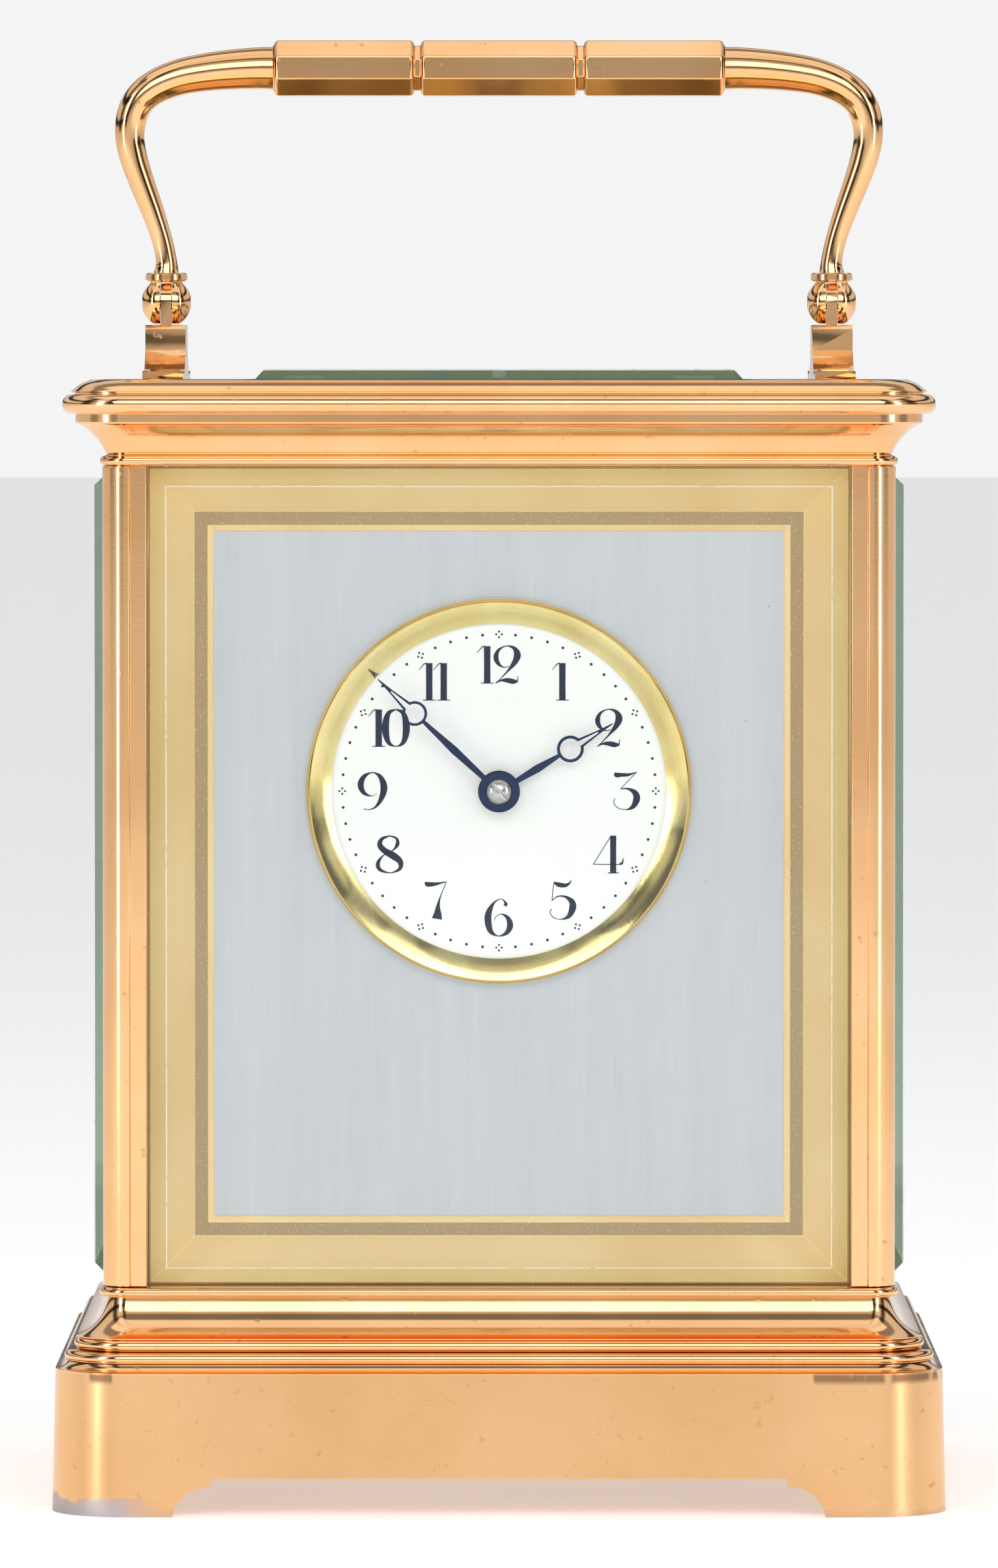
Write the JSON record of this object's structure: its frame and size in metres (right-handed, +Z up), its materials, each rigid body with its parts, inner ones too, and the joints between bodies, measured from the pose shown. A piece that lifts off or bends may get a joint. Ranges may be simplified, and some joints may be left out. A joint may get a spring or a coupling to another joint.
{
  "type": "mantel clock",
  "caption": "Small gorge-cased mantel clock with bevelled glasses, folding handle, enamel dial, hinged rear door and a geared spring movement with a lever platform.",
  "frame": {"origin": "centre of the base's footprint on the table", "axes": "+X to the right of someone facing the dial, -Y towards that person, +Z up"},
  "size_m": [0.1064, 0.0924, 0.1757],
  "materials": {
    "gilt_case": "polished gilt brass, rose gold tint",
    "gilt_mask": "frosted gilding with a polished edge",
    "bezel_brass": "polished yellow brass",
    "silvered_panel": "silvered with a fine vertical grain",
    "enamel": "white vitreous enamel with painted numerals",
    "case_glass": "thick bevelled glass with a green edge",
    "plate_brass": "grained and lacquered brass",
    "wheel_brass": "polished brass",
    "steel": "polished steel",
    "blued_steel": "heat-blued steel",
    "spring_steel": "tempered spring steel"
  },
  "bodies": {
    "case": {"base_casting": "gilt_case", "floor_plate": "plate_brass", "pillar_front_left": "gilt_case", "pillar_front_right": "gilt_case", "pillar_rear_left": "gilt_case", "pillar_rear_right": "gilt_case", "cornice": "gilt_case", "top_glass": "case_glass", "top_glass_clips": "plate_brass", "front_glass": "case_glass", "left_glass": "case_glass", "right_glass": "case_glass", "case_fixings": "steel", "handle_bracket_left": "gilt_case", "handle_bracket_right": "gilt_case", "dial_mask": "gilt_mask", "dial_panel": "silvered_panel", "dial_bezel": "bezel_brass", "enamel_dial": "enamel", "front_plate": "plate_brass", "back_plate": "plate_brass", "plate_pillars": "plate_brass", "plate_screws": "blued_steel", "movement_screws": "steel", "click_spring": "blued_steel", "platform_plate": "plate_brass", "platform_screws": "blued_steel", "escape_bridge": "plate_brass", "balance_cock": "plate_brass", "hairspring": "spring_steel"},
    "handle": {"handle_grip": "gilt_case", "handle_arm_left": "gilt_case", "handle_arm_right": "gilt_case", "handle_knuckles": "gilt_case", "handle_pins": "steel"},
    "rear_door": {"door_frame": "gilt_case", "door_glass": "case_glass", "door_pivots": "steel"},
    "door_catch": {"door_catch": "gilt_case"},
    "hands_minute": {"cannon_pinion": "steel", "minute_hand": "blued_steel", "hand_nut": "steel"},
    "hands_hour": {"hour_wheel": "wheel_brass", "hour_hand": "blued_steel"},
    "motion_wheel": {"minute_wheel": "wheel_brass"},
    "centre_train": {"centre_arbor": "steel", "centre_wheel": "wheel_brass"},
    "intermediate": {"intermediate_wheel": "wheel_brass"},
    "going_barrel": {"barrel": "wheel_brass", "barrel_cap": "wheel_brass", "mainspring": "spring_steel"},
    "winding": {"winding_arbor": "steel", "ratchet_wheel": "steel"},
    "click": {"click": "steel"},
    "third": {"third_wheel": "wheel_brass"},
    "contrate": {"contrate_wheel": "wheel_brass"},
    "escape": {"escape_wheel": "wheel_brass"},
    "lever": {"pallet_lever": "steel"},
    "balance": {"balance_wheel": "wheel_brass"},
    "regulator": {"regulator_index": "steel"}
  },
  "joints": [
    {"name": "handle_fold", "type": "hinge", "parent": "case", "child": "handle", "pos_m": [0, 0, 0.1438], "axis": [1, 0, 0], "range_deg": [-90, 90]},
    {"name": "door_swing", "type": "hinge", "parent": "case", "child": "rear_door", "pos_m": [-0.04015, 0.0383, 0.0755], "axis": [0, 0, 1], "range_deg": [0, 90]},
    {"name": "door_catch_turn", "type": "hinge", "parent": "rear_door", "child": "door_catch", "pos_m": [0.03985, 0.0398, 0.0755], "axis": [0, 1, 0], "range_deg": [-90, 0]},
    {"name": "hands_turn", "type": "hinge", "parent": "case", "child": "hands_minute", "pos_m": [0, -0.03155, 0.0854], "axis": [0, 1, 0], "continuous": true},
    {"name": "motion_wheel_turn", "type": "hinge", "parent": "case", "child": "motion_wheel", "pos_m": [0.0048, -0.02755, 0.07709], "axis": [0, 1, 0], "continuous": true},
    {"name": "hour_hand_turn", "type": "hinge", "parent": "case", "child": "hands_hour", "pos_m": [0, -0.02955, 0.0854], "axis": [0, 1, 0], "continuous": true},
    {"name": "train_run", "type": "hinge", "parent": "case", "child": "contrate", "pos_m": [0.009, -0.00905, 0.0928], "axis": [0, 1, 0], "continuous": true},
    {"name": "escape_wheel_turn", "type": "hinge", "parent": "case", "child": "escape", "pos_m": [0.009, -0.00609, 0.1076], "axis": [0, 0, 1], "continuous": true},
    {"name": "third_wheel_turn", "type": "hinge", "parent": "case", "child": "third", "pos_m": [0.01104, -0.01455, 0.08211], "axis": [0, 1, 0], "continuous": true},
    {"name": "centre_wheel_turn", "type": "hinge", "parent": "case", "child": "centre_train", "pos_m": [0, 0.00545, 0.0854], "axis": [0, 1, 0], "continuous": true},
    {"name": "intermediate_wheel_turn", "type": "hinge", "parent": "case", "child": "intermediate", "pos_m": [-0.00924, -0.00355, 0.07397], "axis": [0, 1, 0], "continuous": true},
    {"name": "barrel_turn", "type": "hinge", "parent": "case", "child": "going_barrel", "pos_m": [-0.008, -0.01655, 0.05], "axis": [0, 1, 0], "continuous": true},
    {"name": "winding_turn", "type": "hinge", "parent": "case", "child": "winding", "pos_m": [-0.008, 0.01195, 0.05], "axis": [0, 1, 0], "continuous": true},
    {"name": "click_lift", "type": "hinge", "parent": "case", "child": "click", "pos_m": [0.0015, 0.01295, 0.059], "axis": [0, 1, 0], "range_deg": [-6, 0], "stiffness_Nm_per_rad": 0.0005, "springref_deg": 5.73},
    {"name": "lever_rock", "type": "hinge", "parent": "case", "child": "lever", "pos_m": [0.00484, -0.00609, 0.1083], "axis": [0, 0, 1], "range_deg": [-5, 5]},
    {"name": "balance_swing", "type": "hinge", "parent": "case", "child": "balance", "pos_m": [-0.00016, -0.00609, 0.1103], "axis": [0, 0, 1], "range_deg": [-220, 220], "stiffness_Nm_per_rad": 0.0000036},
    {"name": "regulator_move", "type": "hinge", "parent": "case", "child": "regulator", "pos_m": [-0.00016, -0.00609, 0.1133], "axis": [0, 0, 1], "range_deg": [-25, 25]}
  ],
  "couplings": [
    {"joint": "motion_wheel_turn", "follows": "hands_turn", "ratio": -0.33333},
    {"joint": "hour_hand_turn", "follows": "hands_turn", "ratio": 0.083333},
    {"joint": "escape_wheel_turn", "follows": "train_run", "ratio": 10},
    {"joint": "third_wheel_turn", "follows": "train_run", "ratio": -0.13333},
    {"joint": "centre_wheel_turn", "follows": "train_run", "ratio": 0.016667},
    {"joint": "intermediate_wheel_turn", "follows": "train_run", "ratio": -0.0027778},
    {"joint": "barrel_turn", "follows": "train_run", "ratio": 0.00055556}
  ]
}
